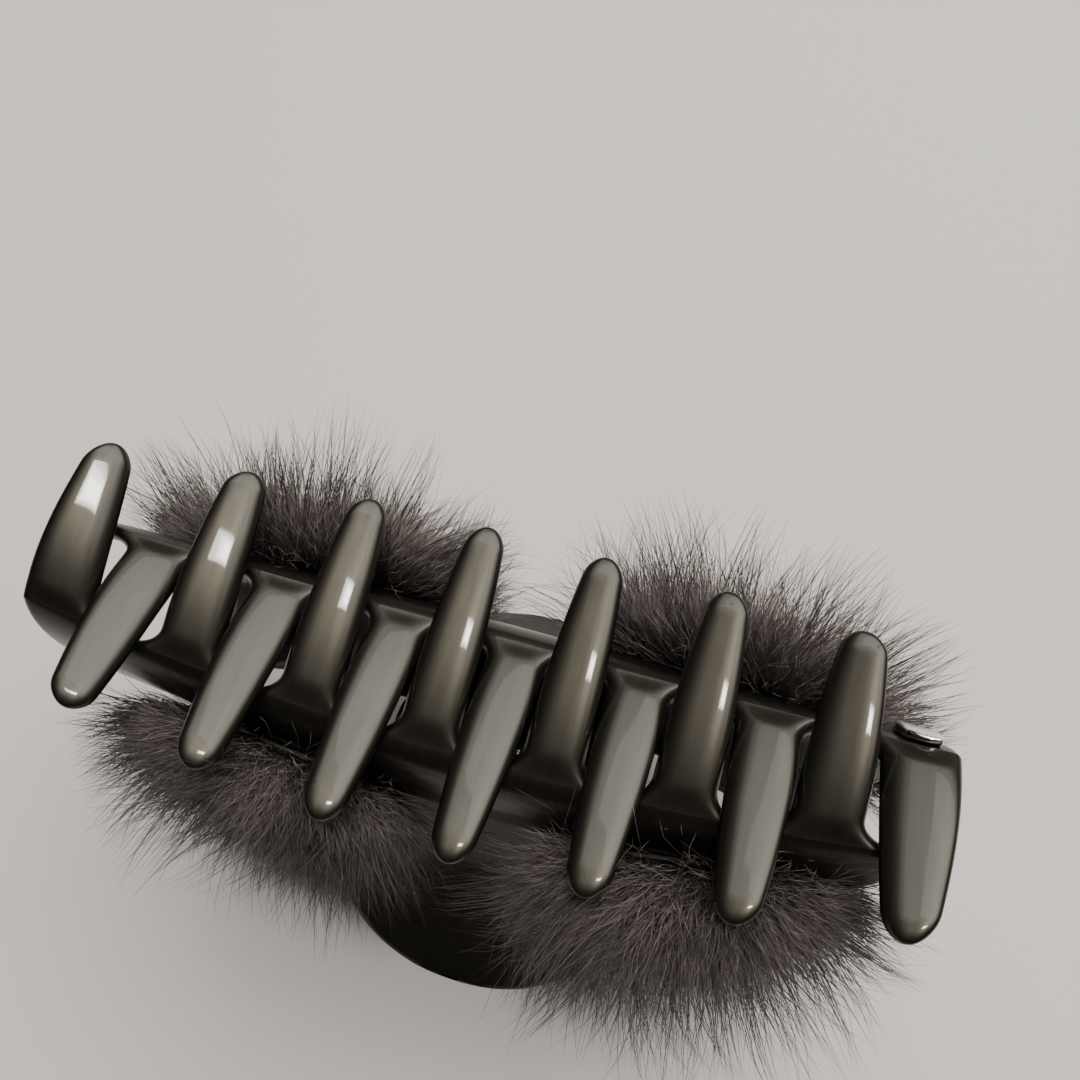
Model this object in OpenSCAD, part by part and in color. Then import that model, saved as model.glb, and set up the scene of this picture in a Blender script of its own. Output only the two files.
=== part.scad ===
// Large hair claw clip with four fur pads. +X runs along the clip, +Z points up through the
// teeth, and +Y is the far jaw's side. The clip lies on its back on the two thumb tabs, with
// the origin on that surface, under the middle. The two jaws are the same moulding, one of
// them turned half a turn about Z.

/* [Clip] */
// Length over the two wide end teeth
clip_length = 109; // [90:1:134]
// Height at which the teeth cross, above the surface under the thumb tabs
crown_height = 60; // [50:0.5:72]
// Height of the hinge pin above that surface
hinge_height = 30; // [25:0.5:36]
// How much higher the teeth stand at the ends of the clip than in the middle
end_rise = 8; // [0:0.5:12]
// Share of their reach from the middle that the jaws lose at the ends
end_taper = 0.24; // [0:0.01:0.3]

/* [Jaw] */
// Distance from the middle plane to the wall's middle where the jaw is fullest
jaw_bulge = 10.6; // [8.5:0.1:13]
// Distance of the roots of the teeth from the middle plane
root_reach = 7.3; // [6:0.1:9]
// Distance of the tooth tips from the middle plane, on the other side
tip_reach = 20; // [16.5:0.5:24]
// Wall of the jaw and of the thumb tab
wall = 2.4; // [1.8:0.1:3.2]
// Share of the root length that is left where the jaw meets the hinge
neck_share = 0.75; // [0.5:0.01:0.9]
// Share of their distance from the middle plane that the walls lose beside the hinge, at the neck
neck_pinch = 0.55; // [0:0.05:0.65]

/* [Teeth] */
// Teeth on each jaw
teeth = 7; // [5:2:9]
// Gap between neighbouring teeth of the two jaws where they cross
tooth_gap = 0.4; // [0.3:0.1:2.4]
// Share of its root width that a tooth loses on its way to the tip
tooth_narrowing = 0.4; // [0.3:0.01:0.7]
// Width of the wide tooth at one end of each jaw
end_tooth_width = 7.9; // [6.5:0.1:10]
// Share of its width that the wide tooth loses
end_tooth_narrowing = 0.44; // [0.2:0.01:0.7]
// Thickness of a tooth along its middle
tooth_thickness = 4; // [2.8:0.1:4.8]
// Thickness of a tooth at its edges
tooth_edge = 1.6; // [1:0.1:2.4]
// Share of a tooth's length that its root fillet takes up
fillet_share = 0.12; // [0.1:0.01:0.3]

/* [Thumb tab] */
// Width of a thumb tab
tab_width = 48; // [40:1:58]
// Distance of the tab's end from the middle plane
tab_reach = 30; // [25:0.5:36]
// Share of the tab's length over which its corners round off
tab_rounding = 0.55; // [0.3:0.05:0.7]

/* [Hinge] */
// Diameter of the hinge pin
pin_diameter = 2.4; // [2:0.1:3]
// Outer diameter of the knuckles
knuckle_diameter = 7.2; // [6:0.1:8.8]
// Length of one knuckle
knuckle_length = 3.6; // [2.8:0.1:4.4]
// Gap between neighbouring knuckles
knuckle_gap = 0.4; // [0.3:0.1:0.8]
// Radial clearance of the pin in the turning jaw
running_clearance = 0.05; // [0.02:0.01:0.1]
// Gap between a jaw's spine and the knuckles or the coil that turn beside it
spine_gap = 0.4; // [0.3:0.1:1]
// How far the pin stands out past the outer knuckles
pin_overhang = 0.6; // [0.2:0.1:2]

/* [Spring] */
// Diameter of the spring wire
wire_diameter = 1.2; // [1:0.1:1.5]
// Radius of the coil at the middle of its wire
coil_radius = 3; // [2.5:0.1:3.8]
// Turns in the coil
coil_turns = 9; // [6:1:11]
// How far down the thumb tabs the spring legs reach, as a share of the tab
leg_reach = 0.6; // [0.4:0.05:0.75]

/* [Fur] */
// From the middle of the clip to each pad's inner edge: far left, far right, near left, near right
pad_inner = [11, 15, 10, 17]; // [4:0.5:22]
// From the end of the jaw to each pad's outer edge, in the same order
pad_margin = [0.8, 1.5, 13.5, 0.8]; // [0.4:0.1:16.5]
// Thickness of the hide that carries the fur
hide_thickness = 1; // [0.6:0.1:1.6]
// Glue line under the hide
glue_line = 0.2; // [0.16:0.01:0.3]
// Height of the dense pile in the middle of a pad
pile_height = 16; // [6:0.5:20]
// Height of the dense pile at the edge of a pad
pile_edge = 6; // [1.5:0.5:8]
// How far the pile's edges lean outwards for each unit of its height
pile_splay = 0.5; // [0:0.05:0.6]
// How far the whole pile leans towards the end of the clip for each unit of its height
pile_drift = 0.2; // [0:0.05:0.4]

/* [Plaque] */
// Length of the small metal plaque
plaque_length = 4.8; // [3:0.2:6]
// Thickness of the plaque
plaque_thickness = 1.4; // [0.6:0.1:1.7]

/* [Hidden] */

// ---- Layout along the clip ----
// The end tooth stands this much outside the even spacing
end_shift = 0.5;
// Each jaw's row of teeth is moved a quarter of the pitch from the middle
last_tooth = round(teeth) - 1;
pitch = (clip_length / 2 - end_shift - end_tooth_width / 2) / (last_tooth / 2 + 0.25);
row_shift = pitch / 4;
// The two rows alternate, half a pitch apart, and cross at this share of the teeth's length
crossing_share = 0.26;
// A tooth keeps its width at first, and narrows mostly towards its tip
narrowing_power = 2.6;
tooth_width = (pitch / 2 - tooth_gap) / (1 - tooth_narrowing * crossing_share^narrowing_power);
// The end rise and the taper are stated at this distance from the middle
end_station = 50;

// Middle of tooth i of the far jaw, from 0 on the left
function tooth_x(i) =
    (i - last_tooth / 2) * pitch + row_shift + (i == last_tooth ? end_shift : 0);
// Half width of tooth i at t (0 root, 1 tip), before its end is rounded
function tooth_half(i, t) =
    i == last_tooth ? end_tooth_width / 2 * (1 - end_tooth_narrowing * t^2)
    : tooth_width / 2 * (1 - tooth_narrowing * t^narrowing_power);
// Edges of the strip of jaw that belongs to tooth i
// The wall runs on this much further under the other jaw's wide end tooth
end_cover = 1.2;
first_edge = tooth_x(0) - pitch / 2 + tooth_gap - end_cover;
last_edge = clip_length / 2;
function cell_left(i) = i == 0 ? first_edge : (tooth_x(i - 1) + tooth_x(i)) / 2;
function cell_right(i) = i == last_tooth ? last_edge : (tooth_x(i) + tooth_x(i + 1)) / 2;

// ---- Section of the far jaw: neck, bulge, root and tip, in [y, z] ----
spine_radius = wall;
neck_drop = 1.2;
neck = [
    max(coil_radius + wire_diameter / 2, knuckle_diameter / 2) + spine_gap + spine_radius,
    hinge_height - neck_drop
];
bulge = [jaw_bulge, crown_height - 12];
root = [root_reach, crown_height - 1.9];
tip = [-tip_reach, crown_height + 3.6];
// The wall leaves the neck leaning out, and stands upright at the bulge
wall_height = bulge[1] - neck[1];
lower_curve = [neck, neck + [2.4, 0.26 * wall_height], bulge - [0, 0.42 * wall_height], bulge];
shoulder_curve = [bulge, bulge + [0, 5.2], root + [2.8, -1.25], root];
tooth_curve = [root, root + [-8.9, 3.5], tip + [9.5, -1.4], tip];
tab_end = [tab_reach, 0];
tab_curve = [neck, neck + [0.5, -9], tab_end + [-11, 9], tab_end];

function bezier(p, t) =
    (1 - t)^3 * p[0] + 3 * (1 - t)^2 * t * p[1] + 3 * (1 - t) * t^2 * p[2] + t^3 * p[3];
function slope(p, t) =
    (1 - t)^2 * (p[1] - p[0]) + 2 * (1 - t) * t * (p[2] - p[1]) + t^2 * (p[3] - p[2]);
// Unit vector out of the jaw, square to the curve
function outward(p, t) = let (d = slope(p, t)) [d[1], -d[0]] / norm(d);

// Point of the jaw wall at v (0 neck, 1 root), station x, and distance out from its middle
function shell_curve(v) = v < 0.5 ? lower_curve : shoulder_curve;
function shell_part(v) = v < 0.5 ? 2 * v : 2 * v - 1;
function spread(v) = neck_share + (1 - neck_share) * sin(90 * v)^0.7;
function taper(x) = 1 - end_taper * (x / end_station)^2;
// The pinch sets in just outside the thumb tab's root and is full a little further out
pinch_start = 0.44 * tab_width;
pinch_length = 18;
function pinch_ease(x) = let (s = max(0, min(1, (abs(x) - pinch_start) / pinch_length))) s^2 * (3 - 2 * s);
function pinch(x, v) = 1 - neck_pinch * pinch_ease(x) * (1 - v)^2;
function rise(x, share) = end_rise * (x / end_station)^2 * share;
function shell_point(v, root_x, out) =
    let (
        c = shell_curve(v),
        t = shell_part(v),
        m = bezier(c, t) + out * outward(c, t),
        x = root_x * spread(v)
    )
    [x, m[0] * taper(x) * pinch(x, v), m[1] + rise(x, v^1.5)];

// Half width of tooth i at t (0 root, 1 tip) towards an edge of its strip
round_share = 0.09;
function tooth_round(t) =
    t < 1 - round_share ? 1 : sqrt(max(0.02, 1 - ((t - 1 + round_share) / round_share)^2));
function side_width(i, t, to_edge) =
    let (
        plain = tooth_half(i, t),
        u = min(1, t / fillet_share)
    )
    plain * tooth_round(t) + (to_edge - plain) * (1 - sqrt(1 - (1 - u)^2));
// Half thickness of a tooth at t and at a across it, -1 to 1
function half_thick(t, a) =
    let (
        crown = tooth_edge + (tooth_thickness * (1 - 0.3 * t) - tooth_edge) * sqrt(1 - a^2),
        u = min(1, t / fillet_share)
    )
    (wall * (1 - u) + crown * u) / 2 * (0.35 + 0.65 * tooth_round(t));
function tooth_point(i, t, a, side) =
    let (
        to_edge = a < 0 ? tooth_x(i) - cell_left(i) : cell_right(i) - tooth_x(i),
        x = tooth_x(i) + a * side_width(i, t, to_edge),
        m = bezier(tooth_curve, t) + side * half_thick(t, a) * outward(tooth_curve, t)
    )
    [x, m[0] * taper(x), m[1] + rise(x, 1)];

// ---- One closed skin for the wall and teeth of a jaw ----
across = 6;
shell_rows = 12;
tooth_rows = 14;
columns = (last_tooth + 1) * across;
function lane(k) = sin(90 * (2 * k / across - 1));
function row_t(j) = (1 - cos(180 * j / tooth_rows)) / 2;
function root_station(j) =
    let (i = min(last_tooth, floor(j / across)), a = lane(j - i * across))
    tooth_x(i) + a * (a < 0 ? tooth_x(i) - cell_left(i) : cell_right(i) - tooth_x(i));

shell_count = (shell_rows + 1) * (columns + 1);
tooth_count = (last_tooth + 1) * tooth_rows * (across + 1);
sheet_count = shell_count + tooth_count;
function sheet_points(side) = concat(
    [for (r = [0:shell_rows], j = [0:columns])
        shell_point(r / shell_rows, root_station(j), side * wall / 2)],
    [for (i = [0:last_tooth], r = [1:tooth_rows], k = [0:across])
        tooth_point(i, row_t(r), lane(k), side)]
);
function shell_at(r, j) = r * (columns + 1) + j;
function tooth_at(i, r, k) =
    r == 0 ? shell_at(shell_rows, i * across + k)
    : shell_count + (i * tooth_rows + r - 1) * (across + 1) + k;

// Two triangles on the outer sheet for each patch, and the same two turned over on the inner
function patch(a, b, c, d) = [
    [a, c, b], [a, d, c],
    [a + sheet_count, b + sheet_count, c + sheet_count],
    [a + sheet_count, c + sheet_count, d + sheet_count]
];
// Two triangles that close the edge from a to b between the sheets
function rim(a, b) = [[a, b, a + sheet_count], [b, b + sheet_count, a + sheet_count]];
function flat(lists) = [for (l = lists) each l];

jaw_faces = flat(concat(
    [for (r = [0:shell_rows - 1], j = [0:columns - 1])
        patch(shell_at(r, j), shell_at(r + 1, j), shell_at(r + 1, j + 1), shell_at(r, j + 1))],
    [for (i = [0:last_tooth], r = [0:tooth_rows - 1], k = [0:across - 1])
        patch(tooth_at(i, r, k), tooth_at(i, r + 1, k), tooth_at(i, r + 1, k + 1), tooth_at(i, r, k + 1))],
    [for (j = [0:columns - 1]) rim(shell_at(0, j + 1), shell_at(0, j))],
    [for (r = [0:shell_rows - 1]) rim(shell_at(r, 0), shell_at(r + 1, 0))],
    [for (r = [0:shell_rows - 1]) rim(shell_at(r + 1, columns), shell_at(r, columns))],
    [for (i = [0:last_tooth], r = [0:tooth_rows - 1]) rim(tooth_at(i, r, 0), tooth_at(i, r + 1, 0))],
    [for (i = [0:last_tooth], r = [0:tooth_rows - 1])
        rim(tooth_at(i, r + 1, across), tooth_at(i, r, across))],
    [for (i = [0:last_tooth], k = [0:across - 1])
        rim(tooth_at(i, tooth_rows, k), tooth_at(i, tooth_rows, k + 1))]
));

module jaw_skin() {
    polyhedron(points = concat(sheet_points(1), sheet_points(-1)), faces = jaw_faces);
}

// ---- A closed slab between an outer and an inner grid of points ----
function grid_faces(rows, cols) =
    let (
        w = cols + 1,
        n = (rows + 1) * w
    )
    flat(concat(
        [for (r = [0:rows - 1], c = [0:cols - 1])
            let (a = r * w + c, b = a + w)
            [[a, b, b + 1], [a, b + 1, a + 1],
             [n + a, n + b + 1, n + b], [n + a, n + a + 1, n + b + 1]]],
        [for (c = [0:cols - 1])
            let (a = c, b = rows * w + c)
            [[a, a + 1, n + a + 1], [a, n + a + 1, n + a],
             [b + 1, b, n + b], [b + 1, n + b, n + b + 1]]],
        [for (r = [0:rows - 1])
            let (a = r * w, b = r * w + cols)
            [[a + w, a, n + a], [a + w, n + a, n + a + w],
             [b, b + w, n + b + w], [b, n + b + w, n + b]]]
    ));

// ---- Thumb tab ----
tab_rows = 12;
tab_columns = 14;
// How far past the surface the tab would run if it weren't cut flat there
tab_run_out = 0.06;
function tab_extent(a) = 1 + tab_run_out - tab_rounding * (1 - (1 - abs(a)^2.2)^0.5);
function tab_point(t, a, side) =
    let (
        h = t * tab_extent(a),
        m = bezier(tab_curve, h) + side * wall / 2 * outward(tab_curve, h)
    )
    [a * tab_width / 2 * (0.84 + 0.16 * sin(90 * min(1, 2 * h))), m[0], m[1]];
function tab_lane(c) = 0.999 * sin(90 * (2 * c / tab_columns - 1));
module tab_skin() {
    intersection() {
        polyhedron(
            points = [for (side = [-1, 1], r = [0:tab_rows], c = [0:tab_columns])
                tab_point(r / tab_rows, tab_lane(c), side)],
            faces = grid_faces(tab_rows, tab_columns)
        );
        translate([-clip_length / 2, -2 * tab_reach, 0])
            cube([clip_length, 4 * tab_reach, crown_height]);
    }
}

// ---- Hinge ----
bore_tight = pin_diameter / 2;
bore_free = pin_diameter / 2 + running_clearance;
turns = round(coil_turns);
// Neighbouring turns lie this share of the wire's diameter apart, middle to middle
turn_spacing = 1.06;
coil_length = turns * wire_diameter * turn_spacing;
// Inner faces of the two knuckle pairs, beside the coil with its legs
inner_knuckle = coil_length / 2 + wire_diameter + knuckle_gap;
outer_knuckle = inner_knuckle + knuckle_length + knuckle_gap;
// Left ends of the far jaw's two knuckles; the near jaw's are these turned half a turn
far_knuckles = [inner_knuckle, -outer_knuckle - knuckle_length];
pin_length = 2 * (outer_knuckle + knuckle_length + pin_overhang);
// The spine is a round bar along the neck, over this share of the tab's width
spine_share = 0.92;
// The webs that join the knuckles to the spine, and how far they reach under its middle
web_height = 3.6;
web_below = 1.4;

module knuckles() {
    for (x = far_knuckles) {
        translate([x, 0, hinge_height])
            rotate([0, 90, 0])
                cylinder(h = knuckle_length, d = knuckle_diameter, $fn = 48);
        translate([x, 0, neck[1] - web_below])
            cube([knuckle_length, neck[0], web_height]);
    }
}

module jaw(bore_radius) {
    difference() {
        union() {
            jaw_skin();
            tab_skin();
            translate([-tab_width * spine_share / 2, neck[0], neck[1]])
                rotate([0, 90, 0])
                    cylinder(h = tab_width * spine_share, r = spine_radius, $fn = 48);
            knuckles();
        }
        translate([-clip_length / 2, 0, hinge_height])
            rotate([0, 90, 0])
                cylinder(h = clip_length, r = bore_radius, $fn = 48);
    }
}

module far_jaw() {
    color([0.45, 0.43, 0.39]) jaw(bore_free);
}

module near_jaw() {
    color([0.45, 0.43, 0.39]) rotate([0, 0, 180]) jaw(bore_tight);
}

module hinge_pin() {
    color([0.75, 0.75, 0.76])
        translate([-pin_length / 2, 0, hinge_height])
            rotate([0, 90, 0])
                cylinder(h = pin_length, r = bore_tight, $fn = 48);
}

// ---- Torsion spring: a close coil on the pin, and a leg along the inside of each tab ----
wire_sides = 8;
rings_per_turn = 14;
// Each leg meets its tab at this share of the tab, and lies along it from there
leg_start = 0.25;
leg_steps = 4;
leg_gap = 0.12;
hub = [0, hinge_height];
function leg_point(t) =
    bezier(tab_curve, t) + (wall / 2 + leg_gap + wire_diameter / 2) * outward(tab_curve, t);
function leg_share(k) = leg_start + (leg_reach - leg_start) * k / leg_steps;
// Angle at the hinge, from +Y, at which the far leg leaves the coil, under the pin
function leave_angle() =
    let (d = leg_point(leg_start) - hub)
    atan2(d[1], d[0]) - acos(coil_radius / norm(d));
// The coil winds from the far leg at +X round to the near leg at -X
far_angle = leave_angle();
near_angle = 180 - far_angle - 360 * (turns + 1);
coil_rings = turns * rings_per_turn;
function coil_ring(k) =
    let (s = k / coil_rings, a = far_angle + (near_angle - far_angle) * s)
    [coil_length * (0.5 - s), coil_radius * cos(a), hinge_height + coil_radius * sin(a)];
wire_path = concat(
    [for (k = [leg_steps:-1:0]) let (p = leg_point(leg_share(k))) [coil_length / 2, p[0], p[1]]],
    [for (k = [0:coil_rings]) coil_ring(k)],
    [for (k = [0:leg_steps]) let (p = leg_point(leg_share(k))) [-coil_length / 2, -p[0], p[1]]]
);

// Tube along a path: each ring is square to the mean of the two stretches that meet there
function unit(v) = v / norm(v);
function heading(p, i) = unit(
    (i < len(p) - 1 ? unit(p[i + 1] - p[i]) : [0, 0, 0]) + (i > 0 ? unit(p[i] - p[i - 1]) : [0, 0, 0]));
function ring(p, i, r, sides) =
    let (
        h = heading(p, i),
        u = unit(cross(h, [1, 0, 0])),
        w = cross(h, u)
    )
    [for (s = [0:sides - 1]) p[i] + r * (cos(360 * s / sides) * u + sin(360 * s / sides) * w)];
module tube(path, r, sides) {
    last = len(path) - 1;
    polyhedron(
        points = [for (i = [0:last]) each ring(path, i, r, sides)],
        faces = concat(
            [[for (s = [0:sides - 1]) s]],
            [for (i = [0:last - 1], s = [0:sides - 1])
                let (n = (s + 1) % sides)
                each [
                    [i * sides + s, (i + 1) * sides + s, (i + 1) * sides + n],
                    [i * sides + s, (i + 1) * sides + n, i * sides + n]
                ]],
            [[for (s = [sides - 1:-1:0]) last * sides + s]]
        )
    );
}

module torsion_spring() {
    color([0.7, 0.7, 0.72]) tube(wire_path, wire_diameter / 2, wire_sides);
}

// ---- Fur pads on the outside of the jaws ----
pad_rows = 10;
pad_columns = 12;
pad_low = 0.12;
pad_high = 0.62;
// The pads' ends of the far jaw, -1 left and 1 right; a near pad is turned half a turn from there
pad_end = [-1, 1, 1, -1];
function pad_outer(pad) = (pad_end[pad] < 0 ? -first_edge : last_edge) - pad_margin[pad];
// A flat grid square turned into a patch with round corners
function rounded(a, b) = a * sqrt(1 - 0.42 * b^2);
// A rounded patch of the wall: u and w run from -1 to 1 along and up the jaw, and the patch
// can be carried out from the wall, leaning sideways by a share of that distance
function pad_point(pad, u, w, out, splay, drift) =
    let (
        v = (pad_low + pad_high) / 2 + (pad_high - pad_low) / 2 * rounded(w, u),
        middle = (pad_inner[pad] + pad_outer(pad)) / 2,
        half = (pad_outer(pad) - pad_inner[pad]) / 2,
        root_x = pad_end[pad] * (middle + half * rounded(u, w))
    )
    shell_point(v, root_x, out) + out * [pad_end[pad] * (splay * u + drift), 0, splay * w];
hide_base = wall / 2 + glue_line;
pile_base = hide_base + hide_thickness + glue_line;
function pile_at(u, w) = pile_edge + (pile_height - pile_edge) * sqrt((1 - u^2) * (1 - w^2));
function lane_of(c, n) = sin(90 * (2 * c / n - 1));

module hide(pad) {
    polyhedron(
        points = [for (side = [0, 1], r = [0:pad_rows], c = [0:pad_columns])
            pad_point(pad, lane_of(c, pad_columns) * pad_end[pad], lane_of(r, pad_rows),
                hide_base + hide_thickness * side, 0, 0)],
        faces = grid_faces(pad_rows, pad_columns)
    );
}

module pile(pad) {
    polyhedron(
        points = [for (side = [0, 1], r = [0:pad_rows], c = [0:pad_columns])
            let (u = lane_of(c, pad_columns) * pad_end[pad], w = lane_of(r, pad_rows))
            pad_point(pad, u, w, pile_base + side * pile_at(u, w),
                side * pile_splay, side * pile_drift)],
        faces = grid_faces(pad_rows, pad_columns)
    );
}

module far_left_hide() { color([0.62, 0.58, 0.54]) hide(0); }
module far_right_hide() { color([0.62, 0.58, 0.54]) hide(1); }
module near_left_hide() { color([0.62, 0.58, 0.54]) rotate([0, 0, 180]) hide(2); }
module near_right_hide() { color([0.62, 0.58, 0.54]) rotate([0, 0, 180]) hide(3); }
module far_left_pile() { color([0.42, 0.38, 0.37]) pile(0); }
module far_right_pile() { color([0.42, 0.38, 0.37]) pile(1); }
module near_left_pile() { color([0.42, 0.38, 0.37]) rotate([0, 0, 180]) pile(2); }
module near_right_pile() { color([0.42, 0.38, 0.37]) rotate([0, 0, 180]) pile(3); }

// ---- Metal plaque: a curved plate glued on the far jaw under its wide end tooth ----
plaque_rows = 6;
plaque_columns = 8;
plaque_low = 0.78;
plaque_high = 0.98;
plaque_x = tooth_x(last_tooth);
function plaque_point(u, w, out) =
    shell_point(
        (plaque_low + plaque_high) / 2 + (plaque_high - plaque_low) / 2 * rounded(w, u),
        plaque_x + plaque_length / 2 * rounded(u, w), out);
module metal_plaque() {
    color([0.85, 0.84, 0.8])
        polyhedron(
            points = [for (side = [0, 1], r = [0:plaque_rows], c = [0:plaque_columns])
                plaque_point(lane_of(c, plaque_columns), lane_of(r, plaque_rows),
                    wall / 2 + glue_line + side * plaque_thickness)],
            faces = grid_faces(plaque_rows, plaque_columns)
        );
}

near_jaw();
far_jaw();
hinge_pin();
torsion_spring();
near_left_hide();
near_right_hide();
far_left_hide();
far_right_hide();
near_left_pile();
near_right_pile();
far_left_pile();
far_right_pile();
metal_plaque();
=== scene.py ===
"""Looks of a large hair claw clip with four fur pads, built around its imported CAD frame."""
import math

import bpy
import numpy as np
from mathutils import Matrix, Vector


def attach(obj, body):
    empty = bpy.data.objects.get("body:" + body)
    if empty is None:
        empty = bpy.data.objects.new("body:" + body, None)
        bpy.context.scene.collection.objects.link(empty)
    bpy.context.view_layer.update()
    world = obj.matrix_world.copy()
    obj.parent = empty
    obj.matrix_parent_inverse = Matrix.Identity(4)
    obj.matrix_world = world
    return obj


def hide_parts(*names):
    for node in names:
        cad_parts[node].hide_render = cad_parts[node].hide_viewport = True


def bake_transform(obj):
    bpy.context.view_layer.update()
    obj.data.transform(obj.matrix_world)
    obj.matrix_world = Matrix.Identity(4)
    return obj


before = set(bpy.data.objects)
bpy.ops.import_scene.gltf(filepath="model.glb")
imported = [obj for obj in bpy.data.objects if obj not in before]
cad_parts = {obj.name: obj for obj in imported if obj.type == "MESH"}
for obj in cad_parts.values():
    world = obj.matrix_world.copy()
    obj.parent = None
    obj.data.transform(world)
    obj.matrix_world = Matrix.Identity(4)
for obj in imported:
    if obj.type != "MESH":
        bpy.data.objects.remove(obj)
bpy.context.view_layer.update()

# ---- Jaws ----
# Each jaw is one injection moulding: a bulged wall, seven convex teeth and a wide thumb tab.
# The plastic is filled with fine pearl flake and polished to a clear gloss. Its colour is painted
# lighter where it faces the camera and darker towards its edges, painted shade for the dark room
# those edges reflect. The two jaws are the same part.

CLIP_LENGTH = 109.0
TEETH = 7
PITCH = 15.4
LAST_SHIFT = 0.5  # the wide end tooth stands this much further out
WALL = 2.4
EDGE_RADIUS = 1.15
# At END_STATION from the middle the jaws are this much higher and have lost this share of their reach
END_STATION, END_RISE, END_TAPER = 50.0, 8.0, 0.24
# Tooth width at the root, the share it loses to the tip, and the power of t it loses it by
PLAIN_TOOTH = (7.39, 0.4, 2.6)
WIDE_TOOTH = (7.9, 0.44, 2)
FILLET = 0.12  # share of a tooth's length over which it opens into the wall
# Share of the root's length left at the neck; where the walls draw in beside the hinge, and how much
NECK_SHARE, PINCH_START, PINCH_LENGTH, PINCH = 0.75, 21.12, 18.0, 0.55
HINGE_HEIGHT = 30.0
NECK = np.array([6.4, 28.8])
BULGE = np.array([10.6, 48.0])
ROOT = np.array([7.3, 58.1])
TIP = np.array([-20.0, 63.6])
TAB_END = np.array([30.0, 0.0])
TAB_HALF_WIDTH = 24.0
LOWER = [NECK, NECK + [2.4, 5], BULGE - [0, 8.06], BULGE]
SHOULDER = [BULGE, BULGE + [0, 5.2], ROOT + [2.8, -1.25], ROOT]
TOOTH = [ROOT, ROOT + [-8.9, 3.5], TIP + [9.5, -1.4], TIP]
TAB = [NECK, NECK + [0.5, -9], TAB_END + [-11, 9], TAB_END]


def bezier(p, t):
    """Cubic curve from p[0] to p[3], drawn towards p[1] and p[2]."""
    t = np.asarray(t, float)[..., None]
    return (1 - t) ** 3 * p[0] + 3 * (1 - t) ** 2 * t * p[1] + 3 * (1 - t) * t**2 * p[2] + t**3 * p[3]


def outward(p, t):
    """The curve's slope turned a quarter turn and made one long."""
    t = np.asarray(t, float)[..., None]
    d = (1 - t) ** 2 * (p[1] - p[0]) + 2 * (1 - t) * t * (p[2] - p[1]) + t**2 * (p[3] - p[2])
    n = np.stack([d[..., 1], -d[..., 0]], -1)
    return n / np.linalg.norm(n, axis=-1, keepdims=True)


def carried(x, m, share):
    """A section point m = (y, z) set at x: y shrinks and z grows with the square of x."""
    s = (x / END_STATION) ** 2
    return np.stack([x, m[..., 0] * (1 - END_TAPER * s), m[..., 1] + END_RISE * s * share], -1)


def wall_point(v, root_x, out=0.0):
    """The wall at v from 0 at the neck to 1 at the roots, out from its middle, with its outward direction.
    Beside the hinge its lower part is drawn in towards the middle plane, by the square of 1 - v."""
    v, root_x, out = np.broadcast_arrays(np.asarray(v, float), root_x, out)
    low = (v < 0.5)[..., None]
    a, b = np.clip(2 * v, 0, 1), np.clip(2 * v - 1, 0, 1)
    m = np.where(low, bezier(LOWER, a), bezier(SHOULDER, b))
    n = np.where(low, outward(LOWER, a), outward(SHOULDER, b))
    x = root_x * (NECK_SHARE + (1 - NECK_SHARE) * np.sin(np.pi / 2 * v) ** 0.7)
    point = carried(x, m + out[..., None] * n, v**1.5)
    beside = np.clip((np.abs(x) - PINCH_START) / PINCH_LENGTH, 0, 1)
    point[..., 1] *= 1 - PINCH * beside**2 * (3 - 2 * beside) * (1 - v) ** 2
    return point, n


def tooth_middle(i):
    """Teeth stand one pitch apart, the row a quarter pitch off the middle, the last a little further out."""
    i = np.asarray(i)
    return (i - (TEETH - 1) / 2) * PITCH + PITCH / 4 + np.where(i == TEETH - 1, LAST_SHIFT, 0.0)


# The wall starts this far left of the first tooth's middle, and each tooth has its own strip of wall
FIRST_EDGE = float(tooth_middle(0)) - 8.5
middles = tooth_middle(np.arange(TEETH))
strip_edges = np.concatenate([[FIRST_EDGE], (middles[:-1] + middles[1:]) / 2, [CLIP_LENGTH / 2]])


def tooth_end(t, share=0.1):
    """One along the tooth, then a round end over its last share."""
    past = np.maximum(0, t - 1 + share) / share
    return np.where(t < 1 - share, 1.0, np.sqrt(np.maximum(0.015, 1 - past**2)))


def tooth_mid(i, t, a):
    """Middle surface of tooth i at t along it and a across it, with its half thickness and outward direction.
    Its width falls mostly towards the tip, and opens in a quarter circle into the wall at the root."""
    i, t, a = np.broadcast_arrays(np.asarray(i), np.asarray(t, float), a)
    last = i == TEETH - 1
    wide, plain = (width / 2 * (1 - lost * t**power) for width, lost, power in (WIDE_TOOTH, PLAIN_TOOTH))
    straight = np.where(last, wide, plain)
    to_edge = np.where(a < 0, tooth_middle(i) - strip_edges[i], strip_edges[i + 1] - tooth_middle(i))
    u = np.minimum(1, t / FILLET)
    flare = (to_edge - straight) * (1 - np.sqrt(1 - (1 - u) ** 2))
    x = tooth_middle(i) + a * (straight * tooth_end(t, np.where(last, 0.15, 0.1)) + flare)
    crown = 1.6 * (1 - 0.3 * t) * np.sqrt(np.clip(1 - np.abs(a) ** 3.4, 0, 1)) * tooth_end(t, 0.12)
    return carried(x, bezier(TOOTH, t), np.ones_like(x)), crown, outward(TOOTH, t)


def nearest(points, line):
    """Distance from each point to the nearest point of a closely sampled line, a block at a time."""
    out = np.empty(len(points))
    for s in range(0, len(points), 400):
        d = points[s:s + 400, None, :] - line[None, :, :]
        out[s:s + 400] = np.sqrt((d * d).sum(-1).min(1))
    return out


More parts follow.
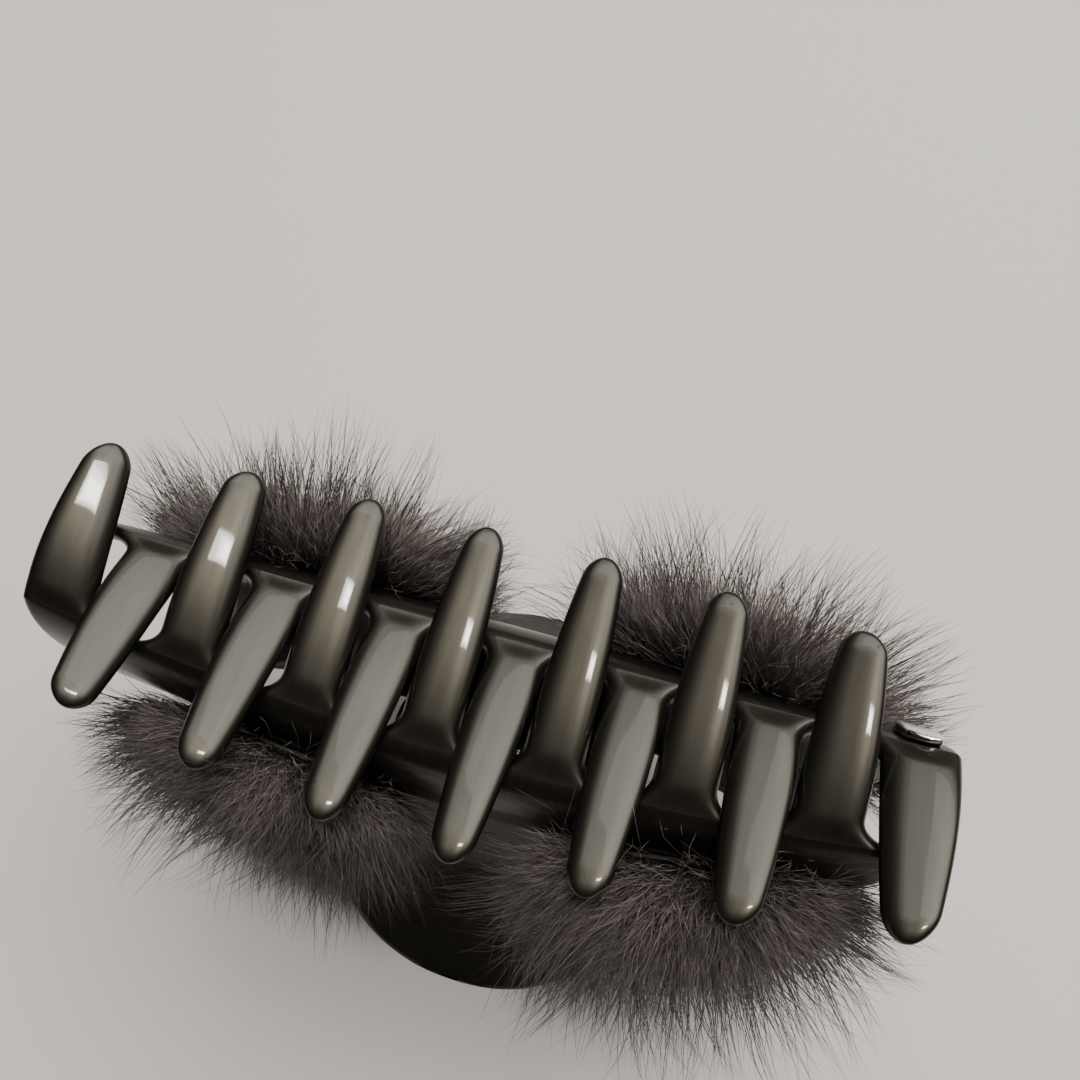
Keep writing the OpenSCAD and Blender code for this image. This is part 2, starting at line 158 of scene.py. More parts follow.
def grid_quads(index):
    """The quads of a grid of vertex numbers, rows upwards and columns to the right."""
    a, b, c, d = index[:-1, :-1], index[1:, :-1], index[1:, 1:], index[:-1, 1:]
    return np.stack([a, b, c, d], -1).reshape(-1, 4)


def two_sheets(middle, direction, thick, rim, quads):
    """An outer and an inner sheet, each thick away from the middle surface, joined where rim is true."""
    n = len(middle)
    offset = np.concatenate([np.zeros((n, 1)), direction], 1) * thick[:, None]
    offset[rim] = 0
    inner = np.where(rim, np.arange(n), n + np.cumsum(~rim) - 1)
    points = np.concatenate([middle + offset, (middle - offset)[~rim]])
    return points, np.concatenate([quads[:, ::-1], inner[quads]])


def round_rim(middle, thick, line, radius):
    """Thickness that falls to nothing at the edge line in a quarter circle of that radius."""
    d = np.minimum(1, nearest(middle, line) / radius)
    return thick * np.sqrt(np.clip(1 - (1 - d) ** 2, 0, 1))


def turned(shape):
    """Points and faces of a closed profile of (x, radius) swept round X at centre, in so many sides."""
    profile, sides, centre = shape
    p = np.array(profile, float)
    a = np.linspace(0, 2 * np.pi, sides, endpoint=False)[:, None]
    pts = np.stack([np.broadcast_to(p[:, 0], (sides, len(p))), centre[0] + p[:, 1] * np.cos(a),
                    centre[1] + p[:, 1] * np.sin(a)], -1).reshape(-1, 3)
    index = np.arange(sides * len(p)).reshape(sides, len(p))
    index = np.concatenate([index, index[:1]])
    index = np.concatenate([index, index[:, :1]], 1)
    return pts, grid_quads(index)


def round_ends(x0, x1, hole, radius, round_off):
    """Closed profile of a bushing from x0 to x1 with rounded outer corners."""
    turn, top = np.linspace(0, np.pi / 2, 6), radius - round_off
    right = [(x1 - round_off + round_off * math.sin(q), top + round_off * math.cos(q)) for q in turn]
    left = [(x0 + round_off - round_off * math.cos(q), top + round_off * math.sin(q)) for q in turn]
    return [(x0, hole)] + left + right + [(x1, hole)]


def jaw_skin():
    """Wall and teeth in one skin: rows up the wall from the neck, then rows along each tooth."""
    across, wall_rows, tooth_rows = 26, 32, 54
    lane = np.sin(np.pi / 2 * np.linspace(-1, 1, across + 1))
    t = (1 - np.cos(np.pi * np.arange(tooth_rows + 1) / tooth_rows)) / 2
    v = 1 - (1 - np.linspace(0, 1, wall_rows + 1)) ** 1.6
    cell = np.append(np.repeat(np.arange(TEETH), across), TEETH - 1)
    a = np.append(np.tile(lane[:-1], TEETH), 1.0)
    middle_x = tooth_middle(cell)
    root_x = middle_x + a * np.where(a < 0, middle_x - strip_edges[cell], strip_edges[cell + 1] - middle_x)
    wall, wall_n = wall_point(v[:, None], root_x[None, :])
    i, tt, aa = np.meshgrid(np.arange(TEETH), t[1:], lane, indexing="ij")
    teeth, thick, teeth_n = tooth_mid(i, tt, aa)
    count = wall.shape[0] * wall.shape[1]
    wall_index = np.arange(count).reshape(wall_rows + 1, TEETH * across + 1)
    tooth_index = count + np.arange(i.size).reshape(i.shape)
    faces = [grid_quads(wall_index)]
    for k in range(TEETH):
        root_row = wall_index[-1, k * across:(k + 1) * across + 1]
        faces.append(grid_quads(np.concatenate([root_row[None], tooth_index[k]])))
    rim = np.zeros(count + i.size, bool)
    rim[wall_index[0]] = rim[wall_index[:, 0]] = rim[wall_index[:, -1]] = True
    rim[wall_index[-1, ::across]] = True
    rim[tooth_index[:, :, [0, -1]].ravel()] = rim[tooth_index[:, -1].ravel()] = True
    middle = np.concatenate([wall.reshape(-1, 3), teeth.reshape(-1, 3)])
    direction = np.concatenate([wall_n.reshape(-1, 2), teeth_n.reshape(-1, 2)])
    # The open edge, sampled closely near the roots, where it turns sharply
    near_root = np.concatenate([[0], np.geomspace(1e-4, 0.02, 60), np.linspace(0.021, 0.22, 160)])
    j, s, side = np.meshgrid(np.arange(TEETH), near_root, [-1.0, 1.0], indexing="ij")
    edge = [tooth_mid(j, s, side)[0].reshape(-1, 3)]
    edge += [wall_point(np.linspace(0, 1, 321), x)[0] for x in (FIRST_EDGE, CLIP_LENGTH / 2)]
    edge.append(wall_point(0.0, np.linspace(FIRST_EDGE, CLIP_LENGTH / 2, 400))[0])
    low = np.concatenate([np.ones(count, bool), (tt < FILLET).ravel()])
    flat = np.full(len(middle), WALL / 2)
    flat[low] = round_rim(middle[low], flat[low], np.concatenate(edge), EDGE_RADIUS)
    u = np.concatenate([np.zeros(count), np.minimum(1, tt / FILLET).ravel()])
    u = u * u * (3 - 2 * u)
    half_thick = flat * (1 - u) + np.concatenate([np.zeros(count), thick.ravel()]) * u
    return two_sheets(middle, direction, half_thick, rim, np.concatenate(faces))


def tab_middle(t, a):
    """Middle surface of the thumb tab, whose end is drawn in towards its corners, with its direction."""
    h = t * (1.06 - 0.55 * (1 - np.sqrt(np.clip(1 - np.abs(a) ** 2.2, 0, 1))))
    x = a * TAB_HALF_WIDTH * (0.84 + 0.16 * np.sin(np.pi / 2 * np.minimum(1, 2 * h)))
    m = bezier(TAB, h)
    return np.stack([x, m[..., 0], m[..., 1]], -1), outward(TAB, h)


def tab_skin():
    """The thumb tab with round edges, cut flat where the clip stands on it."""
    a, t = (np.sin(np.pi / 2 * np.linspace(start, 1, count)) for start, count in ((-1, 61), (0, 45)))
    middle, direction = tab_middle(t[:, None], a[None, :])
    index = np.arange(t.size * a.size).reshape(t.size, a.size)
    rim = np.zeros(index.size, bool)
    rim[index[[0, -1]].ravel()] = rim[index[:, [0, -1]].ravel()] = True
    fine, dense = np.linspace(0, 1, 300), np.sin(np.pi / 2 * np.linspace(-1, 1, 500))
    edge = np.concatenate([tab_middle(fine, -1.0)[0], tab_middle(fine, 1.0)[0],
                           tab_middle(1.0, dense)[0], tab_middle(0.0, dense)[0]])
    middle, direction = middle.reshape(-1, 3), direction.reshape(-1, 2)
    thick = round_rim(middle, np.full(index.size, WALL / 2), edge, EDGE_RADIUS)
    points, faces = two_sheets(middle, direction, thick, rim, grid_quads(index)[:, ::-1])
    points[:, 2] = np.maximum(points[:, 2], 0)
    return points, faces[:, ::-1]


def box_shape(low, high):
    """The eight corners and six faces of a block."""
    x, y, z = np.meshgrid(*[(low[k], high[k]) for k in range(3)], indexing="ij")
    return (np.stack([x.ravel(), y.ravel(), z.ravel()], -1),
            np.array([[0, 1, 3, 2], [4, 6, 7, 5], [0, 4, 5, 1], [2, 3, 7, 6], [0, 2, 6, 4], [1, 5, 7, 3]]))


def new_piece(name, shapes, smooth=True):
    """One mesh object from several (points in mm, faces) shapes, placed at the origin."""
    points, faces, start = [], [], 0
    for p, f in shapes:
        points.append(np.asarray(p, float) * 0.001)
        faces.append(np.asarray(f) + start)
        start += len(p)
    mesh = bpy.data.meshes.new(name)
    co = np.concatenate(points)
    sizes = np.concatenate([np.full(len(f), f.shape[1]) for f in faces])
    loops = np.concatenate([f.ravel() for f in faces])
    mesh.vertices.add(len(co))
    mesh.vertices.foreach_set("co", co.astype(np.float32).ravel())
    mesh.loops.add(len(loops))
    mesh.loops.foreach_set("vertex_index", loops.astype(np.int32))
    mesh.polygons.add(len(sizes))
    mesh.polygons.foreach_set("loop_start", np.concatenate([[0], np.cumsum(sizes)[:-1]]).astype(np.int32))
    mesh.polygons.foreach_set("use_smooth", np.full(len(sizes), smooth))
    mesh.update(calc_edges=True)
    mesh.validate()
    obj = bpy.data.objects.new(name, mesh)
    bpy.context.scene.collection.objects.link(obj)
    return obj


def half_turn(shape):
    """The same shape turned half a turn about Z."""
    return shape[0] * np.array([-1, -1, 1]), shape[1]


SPINE_HALF_LENGTH = 22.08
KNUCKLE_LENGTH, KNUCKLE_RADIUS = 3.6, 3.6
KNUCKLE_STARTS = (7.32, -14.92)
PIN_RADIUS, RUNNING_CLEARANCE = 1.2, 0.05


def jaw_shapes(bore):
    """The skin, the tab, the spine along the neck, and two knuckles with their webs."""
    spine = turned((round_ends(-SPINE_HALF_LENGTH, SPINE_HALF_LENGTH, 0.05, WALL, WALL / 2), 40, NECK))
    shapes = [jaw_skin(), tab_skin(), spine]
    for x in KNUCKLE_STARTS:
        profile = round_ends(x, x + KNUCKLE_LENGTH, bore, KNUCKLE_RADIUS, 0.35)
        shapes.append(turned((profile, 56, (0.0, HINGE_HEIGHT))))
        shapes.append(box_shape((x, 2.2, 27.4), (x + KNUCKLE_LENGTH, 6.4, 31.0)))
    return shapes


def pearl_plastic():
    """Taupe-grey plastic with pearl flake under a clear polished skin, its colour painted darker from where
    it faces the camera to its edges as painted shade.
    """
    m = bpy.data.materials.new("pearl_plastic")
    m.use_nodes = True
    nodes, links = m.node_tree.nodes, m.node_tree.links
    p = nodes["Principled BSDF"]
    where = nodes.new("ShaderNodeTexCoord")
    squeeze = nodes.new("ShaderNodeMapping")
    squeeze.inputs["Scale"].default_value = (1500, 160, 160)
    links.new(where.outputs["Object"], squeeze.inputs["Vector"])
    flow = nodes.new("ShaderNodeTexNoise")
    flow.inputs["Scale"].default_value = 1.0
    flow.inputs["Detail"].default_value = 3.0
    links.new(squeeze.outputs["Vector"], flow.inputs["Vector"])
    # Painted shade: the colour runs from light where the surface faces the camera to nearly black at its
    # edges.
    facing = nodes.new("ShaderNodeLayerWeight")
    facing.inputs["Blend"].default_value = 0.45
    painted_edge_shade = nodes.new("ShaderNodeValToRGB")
    painted_edge_shade.color_ramp.elements[0].position = 0.0
    painted_edge_shade.color_ramp.elements[0].color = (0.042, 0.0376, 0.0284, 1)
    painted_edge_shade.color_ramp.elements[1].position = 1.0
    painted_edge_shade.color_ramp.elements[1].color = (0.003, 0.003, 0.002, 1)
    middle = painted_edge_shade.color_ramp.elements.new(0.5)
    middle.color = (0.0165, 0.0148, 0.0112, 1)
    links.new(facing.outputs["Facing"], painted_edge_shade.inputs["Fac"])
    vary = nodes.new("ShaderNodeMapRange")
    vary.inputs["From Min"].default_value = 0.3
    vary.inputs["From Max"].default_value = 0.7
    vary.inputs["To Min"].default_value = 0.9
    vary.inputs["To Max"].default_value = 1.1
    links.new(flow.outputs["Fac"], vary.inputs["Value"])
    scale = nodes.new("ShaderNodeVectorMath")
    scale.operation = "SCALE"
    links.new(painted_edge_shade.outputs["Color"], scale.inputs[0])
    links.new(vary.outputs["Result"], scale.inputs["Scale"])
    links.new(scale.outputs["Vector"], p.inputs["Base Color"])
    p.inputs["Metallic"].default_value = 0.9
    p.inputs["Roughness"].default_value = 0.4
    p.inputs["Coat Weight"].default_value = 0.45
    p.inputs["Coat Roughness"].default_value = 0.04
    return m


plastic = pearl_plastic()
far_jaw = new_piece("far_jaw_moulding", jaw_shapes(PIN_RADIUS + RUNNING_CLEARANCE))
near_jaw = new_piece("near_jaw_moulding", [half_turn(s) for s in jaw_shapes(PIN_RADIUS)])
for jaw, side in ((far_jaw, "far"), (near_jaw, "near")):
    jaw.data.materials.append(plastic)
    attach(jaw, side + "_jaw_body")
    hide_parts(side + "_jaw")

# ---- Hinge pin and torsion spring ----
# A drawn steel pin pressed through the near jaw's knuckles, with slightly rounded ends. The
# spring is close-wound from bright round wire, and a leg from each end lies on each tab.


def metal(name, colour, roughness):
    """Plain metal of one colour."""
    m = bpy.data.materials.new(name)
    m.use_nodes = True
    p = m.node_tree.nodes["Principled BSDF"]
    p.inputs["Base Color"].default_value = (*colour, 1)
    p.inputs["Metallic"].default_value = 1.0
    p.inputs["Roughness"].default_value = roughness
    return m


pin_end = 15.52
pin_profile = round_ends(-pin_end, pin_end, 0.02, PIN_RADIUS, 0.3)
pin = new_piece("steel_hinge_pin", [turned((pin_profile, 40, (0.0, HINGE_HEIGHT)))])
pin.data.materials.append(metal("steel_pin", (0.6, 0.6, 0.61), 0.25))
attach(pin, "near_jaw_body")
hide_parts("hinge_pin")


def tube(path, radius, sides):
    """A closed tube whose rings stand square to the path."""
    step = np.diff(path, axis=0)
    step /= np.linalg.norm(step, axis=1, keepdims=True)
    heading = np.concatenate([step[:1], step]) + np.concatenate([step, step[-1:]])
    heading /= np.linalg.norm(heading, axis=1, keepdims=True)
    u = np.cross(heading, [1.0, 0, 0])
    u /= np.linalg.norm(u, axis=1, keepdims=True)
    w = np.cross(heading, u)
    a = np.linspace(0, 2 * np.pi, sides, endpoint=False)
    rings = path[:, None] + radius * (np.cos(a)[:, None] * u[:, None] + np.sin(a)[:, None] * w[:, None])
    ends = np.stack([path[0], path[-1]])
    points = np.concatenate([rings.reshape(-1, 3), ends])
    index = np.arange(len(path) * sides).reshape(len(path), sides)
    index = np.concatenate([index, index[:, :1]], 1)
    n = len(path) * sides
    low = np.stack([index[0, :-1], index[0, 1:], np.full(sides, n)], -1)
    high = np.stack([index[-1, 1:], index[-1, :-1], np.full(sides, n + 1)], -1)
    return [(points, grid_quads(index)), (points[:0], np.concatenate([low, high]) - len(points))]


coil_radius, wire, coil_turns = 3.0, 1.2, 9
turn_spacing = 1.06
coil_length = coil_turns * wire * turn_spacing
# Each leg lies along the inside of its tab, over this part of it and this far off it
down_tab, leg_gap = np.linspace(0.25, 0.6, 16), 0.12
leg = bezier(TAB, down_tab) + (WALL / 2 + leg_gap + wire / 2) * outward(TAB, down_tab)
to_leg = leg[0] - [0.0, HINGE_HEIGHT]
far_angle = math.atan2(to_leg[1], to_leg[0]) - math.acos(coil_radius / np.linalg.norm(to_leg))
near_angle = math.pi - far_angle - 2 * math.pi * (coil_turns + 1)
s = np.linspace(0, 1, 36 * coil_turns + 1)
angle = far_angle + (near_angle - far_angle) * s
coil = np.stack([coil_length * (0.5 - s), coil_radius * np.cos(angle),
                 HINGE_HEIGHT + coil_radius * np.sin(angle)], -1)
far_leg = np.column_stack([np.full(len(leg), coil_length / 2), leg])[::-1]
near_leg = np.column_stack([np.full(len(leg), -coil_length / 2), -leg[:, 0], leg[:, 1]])
spring = new_piece("coiled_steel_spring", tube(np.concatenate([far_leg, coil, near_leg]), wire / 2, 12))
spring.data.materials.append(metal("spring_steel", (0.62, 0.61, 0.6), 0.22))
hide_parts("torsion_spring")
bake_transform(spring)

# ---- Plaque ----
# A small curved plate of polished white metal, glued on the shoulder of the far jaw's wall
# behind its wide end tooth, with its face turned up a little.


def patch_slab(place, base, thick, rows, columns, edge_round):
    """A rounded patch of the wall, lifted by base and as thick as thick, its edges rounded off."""
    u = np.sin(np.pi / 2 * np.linspace(-1, 1, columns + 1))[None, :]
    w = np.sin(np.pi / 2 * np.linspace(-1, 1, rows + 1))[:, None]
    edge = np.sqrt(np.clip(1 - np.maximum(np.abs(u), np.abs(w)) ** edge_round, 0, 1))
    u, w = np.broadcast_arrays(u, w)
    low, high = (place(u, w, base + thick / 2 * (1 + side * edge))[0].reshape(-1, 3) for side in (-1, 1))
    n = u.size
    rim = np.zeros(u.shape, bool)
    rim[[0, -1]] = rim[:, [0, -1]] = True
    rim = rim.ravel()
    inner = np.where(rim, np.arange(n), n + np.cumsum(~rim) - 1)
    quads = grid_quads(np.arange(n).reshape(u.shape))
    return np.concatenate([high, low[~rim]]), np.concatenate([quads[:, ::-1], inner[quads]])


def rounded(a, b):
    """The grid value a drawn in where b is large, so that a square of both has round corners."""
    return a * np.sqrt(1 - 0.42 * b**2)


PLAQUE_BASE = 1.35  # from the wall's middle surface to the plaque's underside
PLAQUE_LENGTH, PLAQUE_THICKNESS = 4.8, 1.4


def plaque_place(u, w, out):
    """The plaque's patch of the far wall; its top face is tipped up, away from the wall at its lower edge."""
    out = PLAQUE_BASE + (out - PLAQUE_BASE) * (1 + 0.3 * (1 - w))
    x = middles[-1] + PLAQUE_LENGTH / 2 * rounded(u, w)
    return wall_point(0.88 + 0.1 * rounded(w, u), x, out)


plaque = new_piece("polished_plaque", [patch_slab(plaque_place, PLAQUE_BASE, PLAQUE_THICKNESS, 24, 30, 10)])
plaque.data.materials.append(metal("plaque_metal", (0.93, 0.91, 0.88), 0.12))
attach(plaque, "far_jaw_body")
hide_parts("metal_plaque")

# ---- Hides ----
# Each pad is cut from dressed mink: a thin dark skin side, glued to the wall along its curve.

# From the wall's middle surface to the hide's underside, and its thickness
HIDE_BASE, HIDE_THICKNESS = 1.4, 1.0


def pad_place(direction, inner, outer):
    """The patch of the far wall under the pad between those distances, -1 left or 1 right."""
    def place(u, w, out):
        """u and w run from -1 to 1 along and up the pad."""
        across = (inner + outer) / 2 + (outer - inner) / 2 * rounded(u, w)
        return wall_point(0.37 + 0.25 * rounded(w, u), direction * across, out)
    return place


def hide_material():
    """Matt dark suede."""
    m = bpy.data.materials.new("hide")
    m.use_nodes = True
    p = m.node_tree.nodes["Principled BSDF"]
    p.inputs["Base Color"].default_value = (0.03, 0.024, 0.02, 1)
    p.inputs["Roughness"].default_value = 0.9
    return m


suede = hide_material()
# Each pad: its name, its side in the far jaw's own frame, where it starts and ends from the
# middle of the clip, how long its fur is, how much the fur leans towards the clip's end,
# and how far it wraps round that end
pads = [("far_left", -1, 11.0, 48.75, 1.15, 0.1, 0.0), ("far_right", 1, 15.0, 53.0, 1.25, 0.2, 0.95),
        ("near_left", 1, 10.0, 41.0, 1.05, 0.12, 0.0), ("near_right", -1, 17.0, 48.75, 1.3, 0.1, 0.95)]
for name, direction, inner, outer, growth, drift, wrap in pads:
    near = name.startswith("near")
    points, faces = patch_slab(pad_place(direction, inner, outer), HIDE_BASE, HIDE_THICKNESS, 16, 24, 14)
    shape = (points, faces[:, ::direction])
    hide = new_piece(name + "_mink_skin", [half_turn(shape) if near else shape])
    hide.data.materials.append(suede)
    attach(hide, name.split("_")[0] + "_jaw_body")
    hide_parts(name + "_hide")

# ---- Fur ----
# Dense wavy underfur that is soft and pale at its tips, and longer guard hairs that stand out
# of it singly, darker and tapered to a fine point. All of it leans away from the pad's middle.
# Both kinds are coloured darker towards their roots, painted shade deep in the pile.


def fur_material(name, stops, roughness, coarse):
    """Hair coloured along its length, painted darker towards its root as painted shade, each hair a little
    lighter or darker than the next.
    """
    m = bpy.data.materials.new(name)
    m.use_nodes = True
    nodes, links = m.node_tree.nodes, m.node_tree.links
    p = nodes["Principled BSDF"]
    along = nodes.new("ShaderNodeAttribute")
    along.attribute_name = "along"
    tint = nodes.new("ShaderNodeAttribute")
    tint.attribute_name = "tint"
    ramp = nodes.new("ShaderNodeValToRGB")
    ramp.color_ramp.elements[0].color = (*stops[0][1], 1)
    ramp.color_ramp.elements[0].position = stops[0][0]
    ramp.color_ramp.elements[1].color = (*stops[-1][1], 1)
    ramp.color_ramp.elements[1].position = stops[-1][0]
    for place, colour in stops[1:-1]:
        ramp.color_ramp.elements.new(place).color = (*colour, 1)
    links.new(along.outputs["Fac"], ramp.inputs["Fac"])
    vary = nodes.new("ShaderNodeMapRange")
    vary.inputs["To Min"].default_value = 1 - coarse
    vary.inputs["To Max"].default_value = 1 + coarse
    links.new(tint.outputs["Fac"], vary.inputs["Value"])
    scale = nodes.new("ShaderNodeVectorMath")
    scale.operation = "SCALE"
    links.new(ramp.outputs["Color"], scale.inputs[0])
    links.new(vary.outputs["Result"], scale.inputs["Scale"])
    links.new(scale.outputs["Vector"], p.inputs["Base Color"])
    p.inputs["Roughness"].default_value = roughness
    p.inputs["Specular IOR Level"].default_value = 0.45
    return m


# The dark colours at the roots of both kinds are painted shade deep in the pile; the pale underfur tips and
# dark guard tips are the fur's own colour.
underfur = fur_material("underfur", [(0.0, (0.014, 0.011, 0.009)), (0.5, (0.078, 0.062, 0.056)),
                                     (1.0, (0.24, 0.2, 0.187))], roughness=0.5, coarse=0.5)
guard_hair = fur_material("guard_hair", [(0.0, (0.02, 0.017, 0.016)), (0.5, (0.08, 0.066, 0.061)),
                                         (1.0, (0.03, 0.024, 0.022))], roughness=0.4, coarse=0.5)
ROOT_DEPTH = 0.35  # how deep in the hide the hairs are rooted


def hair_line(place, direction, drift, wrap, u, w, length, rng, t, wild):
    """Points at t along hairs rooted at u and w. Each starts between the wall's outward direction and a lean
    away from the pad's middle, and bends further over as it goes; wild is how far single hairs stray. At the
    clip's end the outward direction counts for less by u to the power 1.5 times wrap."""
    base, n = place(u, w, HIDE_BASE + HIDE_THICKNESS - ROOT_DEPTH)
    end = wrap * np.maximum(0, u) ** 1.5
    out = np.concatenate([np.zeros((len(u), 1)), n], 1) * (1 - end)[:, None]
    sideways = direction * (u + 2 * np.maximum(0, u - 0.4) ** 2 + drift)
    upwards = np.where(w > 0, 0.7 * w + 0.2 * w**3, 1.5 * w) + 0.1
    lean = np.stack([sideways, np.zeros(len(u)), upwards], -1)
    stray = rng.normal(0, wild, (len(u), 3))
    start = out + 0.8 * lean + 0.7 * stray
    finish = 0.85 * out + 1.05 * lean + 1.5 * stray + [0, 0, -0.05]
    start /= np.linalg.norm(start, axis=1, keepdims=True)
    finish /= np.linalg.norm(finish, axis=1, keepdims=True)
    k = t[None, :, None]
    reach = length[:, None, None]
    return base[:, None] + reach * ((k - k * k / 2) * start[:, None] + k * k / 2 * finish[:, None])


def fall_short(wrap, u):
    """Share of length left at u along the pad: less by the cube of u, and, where the fur wraps the end,
    by its square."""
    return 1 - 0.25 * np.abs(u) ** 3 - 0.42 * wrap * np.maximum(0, u) ** 2


def hairs(place, direction, drift, wrap, seed, count, lengths, radius, rings, wild, locks, gather, crimp):
    """Tapered three-sided hairs. Each is drawn towards the middle of its lock as it nears its tip, and
    the hairs at the pad's ends are shorter; crimp is how far its bends stray from a smooth line."""
    rng = np.random.default_rng(seed)
    t = np.linspace(0, 1, rings + 1)
    lu, lw = rng.uniform(-1, 1, (2, locks))
    lock_length = rng.uniform(*lengths, locks)
    lock_reach = lock_length * fall_short(wrap, lu)
    lock_line = hair_line(place, direction, drift, wrap, lu, lw, lock_reach, rng, t, wild)
    u, w = rng.uniform(-1, 1, (2, count))
    mine = np.empty(count, int)
    for s in range(0, count, 2000):
        mine[s:s + 2000] = ((u[s:s + 2000, None] - lu) ** 2 + (w[s:s + 2000, None] - lw) ** 2 / 3).argmin(1)
    length = (0.5 * rng.uniform(*lengths, count) + 0.5 * lock_length[mine]) * fall_short(wrap, u)
    line = hair_line(place, direction, drift, wrap, u, w, length, rng, t, wild)
    pull = rng.uniform(0.35, 1.0, count)[:, None, None] * gather * t[None, :, None] ** 1.3
    line = line + pull * (lock_line[mine] - line)
    line[:, 1:] += rng.normal(0, crimp, (count, rings, 3)) * t[1:, None]
    along = line[:, 1] - line[:, 0]
    side = np.cross(along, rng.normal(size=(count, 3)))
    side /= np.linalg.norm(side, axis=1, keepdims=True)
    up = np.cross(along, side)
    up /= np.linalg.norm(up, axis=1, keepdims=True)
    a = 2 * np.pi * np.arange(3) / 3
    around = np.cos(a)[None, :, None] * side[:, None] + np.sin(a)[None, :, None] * up[:, None]
    thick = radius * (1 - 0.75 * t[:-1] ** 1.5)
    ring = line[:, :-1, None] + thick[None, :, None, None] * around[:, None]
    ring = ring.reshape(count, rings * 3, 3)
    points = np.concatenate([ring, line[:, -1:]], 1)
    each = rings * 3 + 1
    body = [[3 * r + q, 3 * r + (q + 1) % 3, 3 * r + 3 + (q + 1) % 3, 3 * r + 3 + q]
            for r in range(rings - 1) for q in range(3)]
    tip = [[3 * rings - 3 + q, 3 * rings - 3 + (q + 1) % 3, 3 * rings] for q in range(3)]
    start = (np.arange(count) * each)[:, None, None]
    quads = (start + np.array(body)[None]).reshape(-1, 4)
    ends = (start + np.array(tip + [[0, 2, 1]])[None]).reshape(-1, 3)
    shade = rng.uniform(0, 1, count) * 0.5 + rng.uniform(0, 1, locks)[mine] * 0.5
    place_along = np.tile(np.append(np.repeat(t[:-1], 3), 1.0), count)
    return points.reshape(-1, 3), quads, ends, place_along, np.repeat(shade, each)


def fur_piece(name, found, near, material):
    """One mesh of many hairs, with each vertex's place along its hair and its hair's tint."""
    points, quads, ends, along, tint = found
    points = points * np.array([-1, -1, 1]) if near else points
    points[:, 2] = np.maximum(points[:, 2], 0.3)
    obj = new_piece(name, [(points, quads), (points[:0], ends - len(points))])
    for label, values in (("along", along), ("tint", tint)):
        obj.data.attributes.new(label, "FLOAT", "POINT").data.foreach_set("value", values.astype(np.float32))
    obj.data.materials.append(material)
    return obj


# Each kind of hair: its name, seed, count, length from and to, radius, rings, number of locks, how
# far it gathers in its lock, crimp and material
kinds = [("_underfur", 100, 10500, 8, 14.5, 0.06, 4, 700, 0.4, 0.35, underfur),
         ("_long_underfur", 200, 7500, 11, 17, 0.05, 4, 420, 0.55, 0.4, underfur),
         ("_guard_hair", 300, 2600, 15, 24, 0.085, 5, 240, 0.92, 0.1, guard_hair)]
STRAY = 0.5  # how far single hairs stray from the way their pad's fur leans
fineness = 1.0
for number, (name, direction, inner, outer, growth, drift, wrap) in enumerate(pads):
    place = pad_place(direction, inner, outer)
    for kind, seed, count, shortest, longest, radius, rings, locks, gather, crimp, material in kinds:
        found = hairs(place, direction, drift, wrap, seed + number, int(count * fineness),
                      (growth * shortest, growth * longest), radius, rings, STRAY, locks, gather, crimp)
        piece = fur_piece(name + kind, found, name.startswith("near"), material)
        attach(piece, name.split("_")[0] + "_jaw_body")
        if kind == "_underfur":
            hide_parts(name + "_pile")

# ---- Table, light and camera ----
# A pale table top, a big soft light above and behind the clip, a small lamp straight above that
# shows as a square highlight on the teeth, and a camera that looks down at the clip.


def table_material():
    """Pale warm grey board with hardly any shine."""
    m = bpy.data.materials.new("table")
    m.use_nodes = True
    p = m.node_tree.nodes["Principled BSDF"]
    p.inputs["Base Color"].default_value = (0.56, 0.53, 0.49, 1)
    p.inputs["Roughness"].default_value = 0.8
    return m


corners = 2000.0 * np.array([[-1, -1, 0], [1, -1, 0], [1, 1, 0], [-1, 1, 0]])
table = new_piece("table", [(corners, np.array([[0, 1, 2, 3]]))], smooth=False)
table.data.materials.append(table_material())


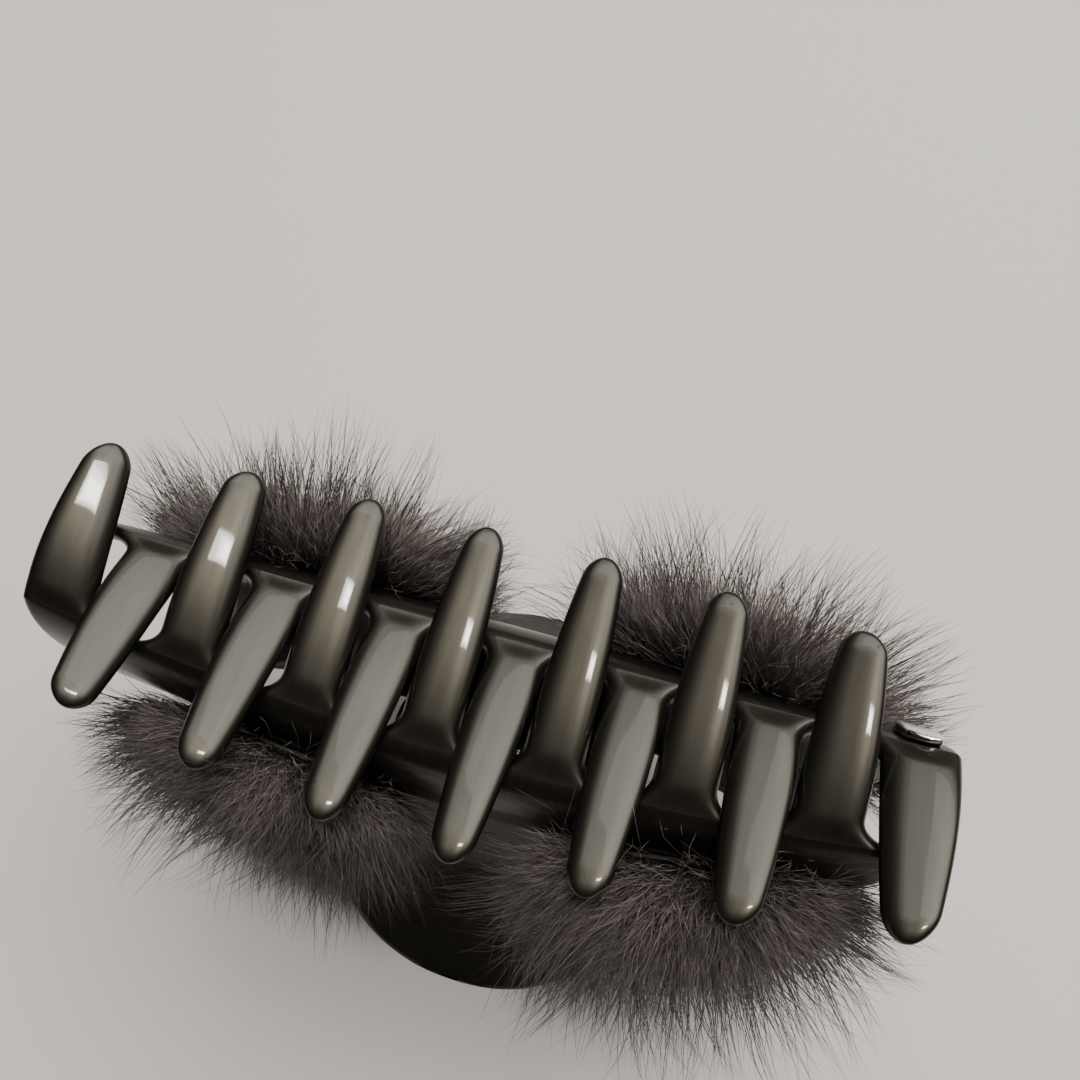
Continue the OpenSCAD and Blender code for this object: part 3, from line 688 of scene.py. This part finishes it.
def softbox(name, place, aim, width, height, power, colour):
    """A rectangular light that faces its aim point."""
    data = bpy.data.lights.new(name, "AREA")
    data.shape = "RECTANGLE"
    data.size, data.size_y, data.energy, data.color = width, height, power, colour
    lamp = bpy.data.objects.new(name, data)
    lamp.location = place
    lamp.rotation_euler = (Vector(aim) - Vector(place)).to_track_quat("-Z", "Y").to_euler()
    bpy.context.scene.collection.objects.link(lamp)


# Four sheets of cloth over the big light and three over the lamp, each larger than the last and
# a centimetre further up, so that their edges are soft
for number, share in enumerate((0.5, 0.7, 0.85, 1.0)):
    softbox("ceiling_%d" % number, (0.3, 0.72, 1.2 + 0.01 * number), (0, 0, 0.05),
            2.8 * share, 1.9 * share, 10.7, (1, 0.985, 0.955))
for number, share in enumerate((0.5, 0.75, 1.0)):
    softbox("lamp_%d" % number, (0.035, 0.0, 0.9 + 0.01 * number), (0, 0, 0.06),
            0.08 * share, 0.22 * share, 2.6 * share**2, (1, 0.99, 0.97))
world = bpy.data.worlds.new("room")
world.use_nodes = True
world.node_tree.nodes["Background"].inputs["Color"].default_value = (1, 0.97, 0.93, 1)
world.node_tree.nodes["Background"].inputs["Strength"].default_value = 0.03
bpy.context.scene.world = world

# The camera's direction round and above the clip and its roll, what it aims at and how far it is off
azimuth, elevation, roll = map(math.radians, (22.39, 65.25, -6.30))
aim, distance = Vector((0.00204, 0.02155, 0.060)), 0.12847
level_share = math.cos(elevation)
back = Vector((math.sin(azimuth) * level_share, -math.cos(azimuth) * level_share, math.sin(elevation)))
level = (-back).cross(Vector((0, 0, 1))).normalized()
upright = level.cross(-back)
right = level * math.cos(roll) + upright * math.sin(roll)
up = upright * math.cos(roll) - level * math.sin(roll)
lens = bpy.data.cameras.new("camera")
lens.lens, lens.sensor_width, lens.clip_start = 33.2, 36.0, 0.005
camera = bpy.data.objects.new("camera", lens)
turned_to = Matrix((right, up, back)).transposed().to_4x4()
camera.matrix_world = Matrix.Translation(aim + back * distance) @ turned_to
bpy.context.scene.collection.objects.link(camera)
bpy.context.scene.camera = camera
